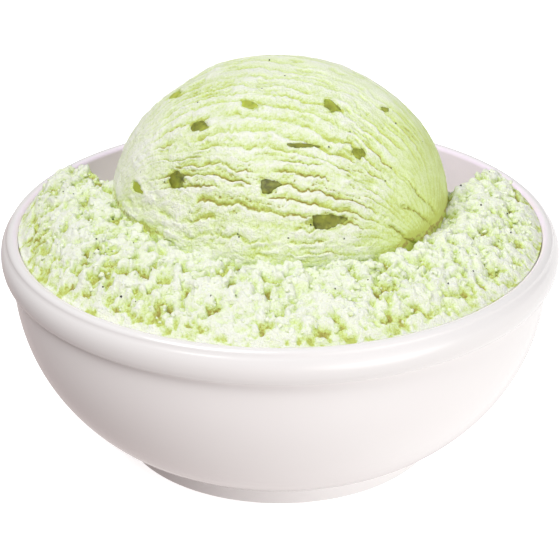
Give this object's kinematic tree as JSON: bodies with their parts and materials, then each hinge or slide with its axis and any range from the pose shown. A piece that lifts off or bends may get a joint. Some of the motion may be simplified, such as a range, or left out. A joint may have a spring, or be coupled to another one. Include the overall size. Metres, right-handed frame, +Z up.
{
  "type": "bowl of ice cream",
  "caption": "Glazed bowl on a foot ring, heaped with crumbly green ice cream that holds a large layered scoop with sliced green bits.",
  "frame": {"origin": "centre of the foot ring's underside", "axes": "+Z up, out of the bowl's mouth; -Y towards the side seen in front; +X to the right"},
  "size_m": [0.115, 0.115, 0.0811],
  "materials": {
    "white_glaze": "glossy white glaze",
    "green_ice_cream": "frozen pale green ice cream, matt and granular, with a slight wet sheen in the cracks"
  },
  "bodies": {
    "root": {"bowl": "white_glaze", "ice_cream_bed": "green_ice_cream", "scoop_ball": "green_ice_cream"}
  },
  "joints": []
}
